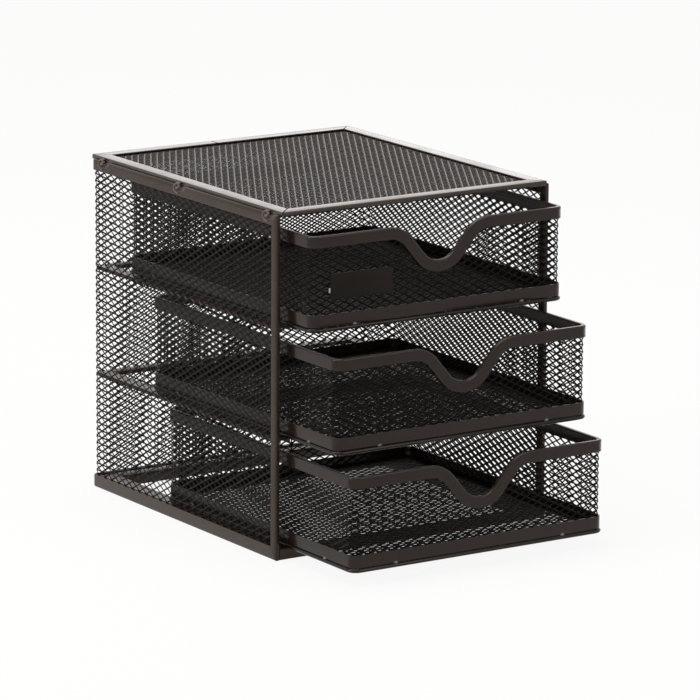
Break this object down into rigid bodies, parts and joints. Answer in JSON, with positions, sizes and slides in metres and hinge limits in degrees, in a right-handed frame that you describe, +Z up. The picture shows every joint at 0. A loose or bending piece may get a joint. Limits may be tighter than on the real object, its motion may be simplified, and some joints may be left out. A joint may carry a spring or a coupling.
{
  "type": "desktop mini drawers",
  "caption": "Open-fronted desktop drawer organizer in black painted steel and expanded mesh, with shallow scooped-front drawers sliding on ledges.",
  "frame": {"origin": "middle of the front sill's underside, on the surface that the case stands on", "axes": "+X to the right seen from the front, +Y towards the back wall, +Z up; the drawers open towards -Y"},
  "size_m": [0.155, 0.2303, 0.167],
  "materials": {
    "panel_channel": "satin black paint",
    "case_channel": "satin black paint",
    "drawer_channel": "satin black paint",
    "mesh": "satin black paint",
    "wire": "gloss black paint",
    "weld": "satin black paint over weld",
    "plate": "smooth blank plate"
  },
  "bodies": {
    "case": {"top_mesh": "mesh", "panel_front_strip": "panel_channel", "panel_back_strip": "panel_channel", "panel_left_strip": "panel_channel", "panel_right_strip": "panel_channel", "panel_welds": "weld", "left_mesh": "mesh", "right_mesh": "mesh", "back_mesh": "mesh", "left_post": "case_channel", "right_post": "case_channel", "top_channel_left": "case_channel", "top_channel_right": "case_channel", "top_channel_back": "case_channel", "base_channel_left": "case_channel", "base_channel_right": "case_channel", "base_channel_back": "case_channel", "front_sill": "case_channel", "base_ledge_left": "case_channel", "base_ledge_right": "case_channel", "base_ledge_back": "case_channel", "middle_ledge_left": "case_channel", "middle_ledge_right": "case_channel", "middle_ledge_back": "case_channel", "upper_ledge_left": "case_channel", "upper_ledge_right": "case_channel", "upper_ledge_back": "case_channel"},
    "upper_drawer": {"upper_rim": "drawer_channel", "upper_front_mesh": "mesh", "upper_back_mesh": "mesh", "upper_left_mesh": "mesh", "upper_right_mesh": "mesh", "upper_floor_mesh": "mesh", "upper_base_band": "drawer_channel", "upper_runner_wire": "wire", "upper_welds": "weld", "name_plate": "plate"},
    "middle_drawer": {"middle_rim": "drawer_channel", "middle_front_mesh": "mesh", "middle_back_mesh": "mesh", "middle_left_mesh": "mesh", "middle_right_mesh": "mesh", "middle_floor_mesh": "mesh", "middle_base_band": "drawer_channel", "middle_runner_wire": "wire", "middle_welds": "weld"},
    "lower_drawer": {"lower_rim": "drawer_channel", "lower_front_mesh": "mesh", "lower_back_mesh": "mesh", "lower_left_mesh": "mesh", "lower_right_mesh": "mesh", "lower_floor_mesh": "mesh", "lower_base_band": "drawer_channel", "lower_runner_wire": "wire", "lower_welds": "weld"}
  },
  "joints": [
    {"name": "upper_drawer_slide", "type": "slide", "parent": "case", "child": "upper_drawer", "axis": [0, -1, 0], "range_m": [-0.0211, 0.0989]},
    {"name": "middle_drawer_slide", "type": "slide", "parent": "case", "child": "middle_drawer", "axis": [0, -1, 0], "range_m": [-0.0428, 0.0772]},
    {"name": "lower_drawer_slide", "type": "slide", "parent": "case", "child": "lower_drawer", "axis": [0, -1, 0], "range_m": [-0.057, 0.063]}
  ]
}
